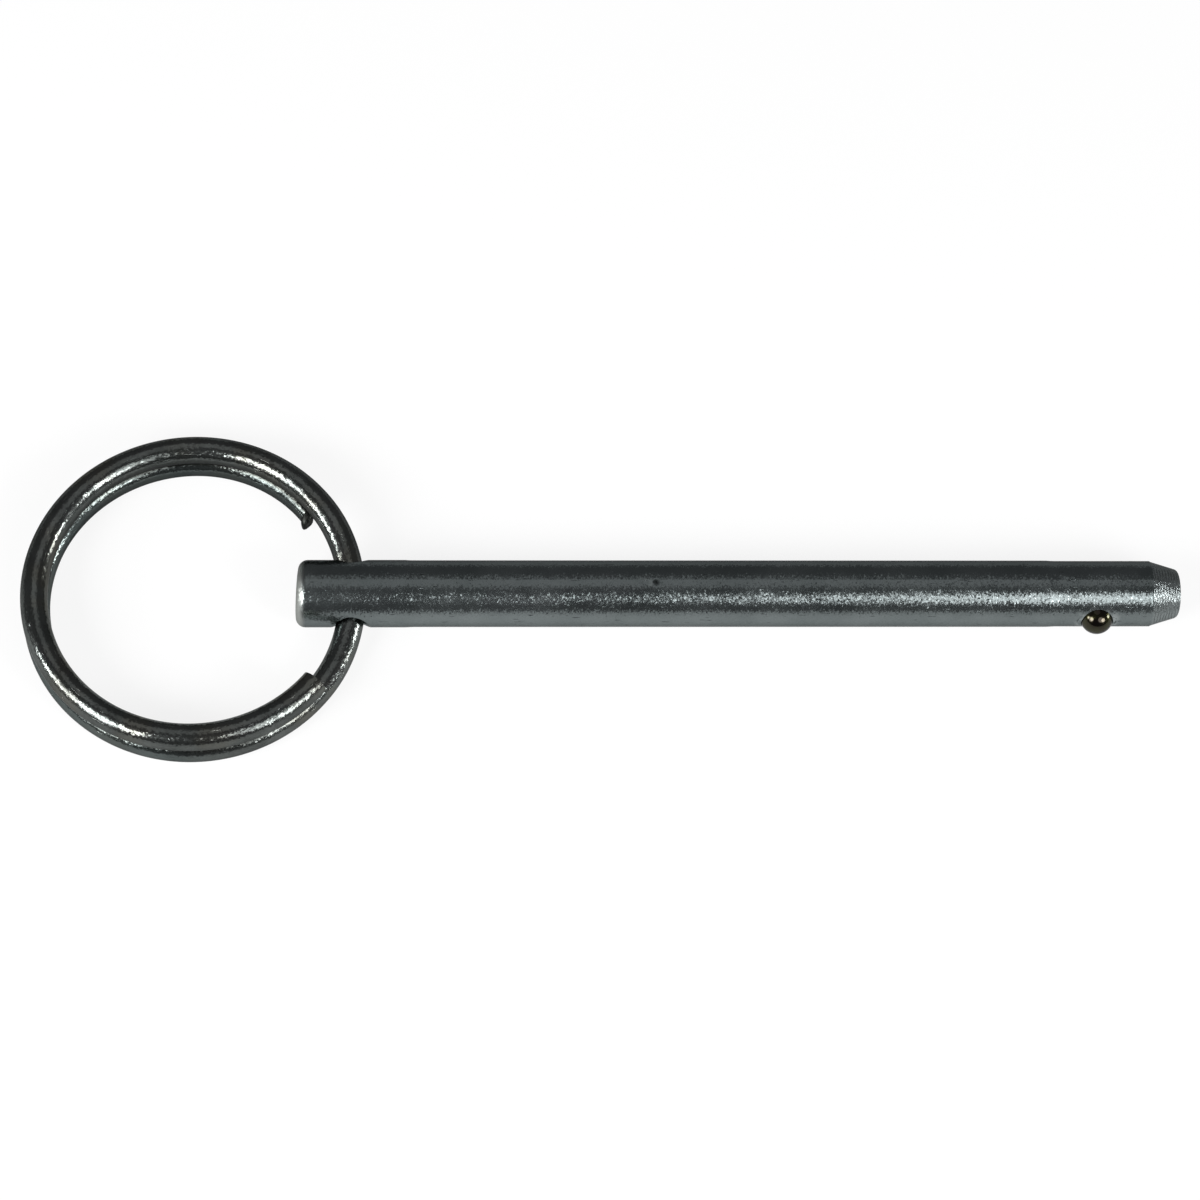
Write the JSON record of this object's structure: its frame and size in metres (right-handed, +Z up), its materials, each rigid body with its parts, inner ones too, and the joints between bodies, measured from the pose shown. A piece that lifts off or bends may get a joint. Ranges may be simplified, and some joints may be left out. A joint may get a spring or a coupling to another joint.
{
  "type": "cotterless hitch pin",
  "caption": "Steel pin with a tapered nose, a sprung detent ball near the nose and a split ring through a cross hole at the head end.",
  "frame": {"origin": "on the shank's axis, where the grip begins, at the end nearer the ring", "axes": "+X along the shank towards its nose, +Z up from the surface that the pin lies on, the ball looks towards -Y"},
  "size_m": [0.1103, 0.0324, 0.0064],
  "materials": {
    "shank_zinc": "bright zinc plate on drawn bar, finely grained",
    "ring_zinc": "bright zinc plate on drawn wire",
    "ball_steel": "polished hardened steel",
    "spring_steel": "plain spring wire"
  },
  "bodies": {
    "shank_body": {"shank": "shank_zinc", "detent_spring": "spring_steel"},
    "ring_body": {"split_ring": "ring_zinc"},
    "ball_body": {"detent_ball": "ball_steel"}
  },
  "joints": [
    {"name": "ring_swing", "type": "hinge", "parent": "shank_body", "child": "ring_body", "pos_m": [-0.0059, 0.00005, -0.00021], "axis": [0, 0.9732, 0.23], "range_deg": [-165, 165]},
    {"name": "ball_slide", "type": "slide", "parent": "shank_body", "child": "ball_body", "axis": [0, 0.9959, -0.0906], "range_m": [0, 0.0011], "stiffness_N_per_m": 2000, "deforming": ["detent_spring"]}
  ]
}
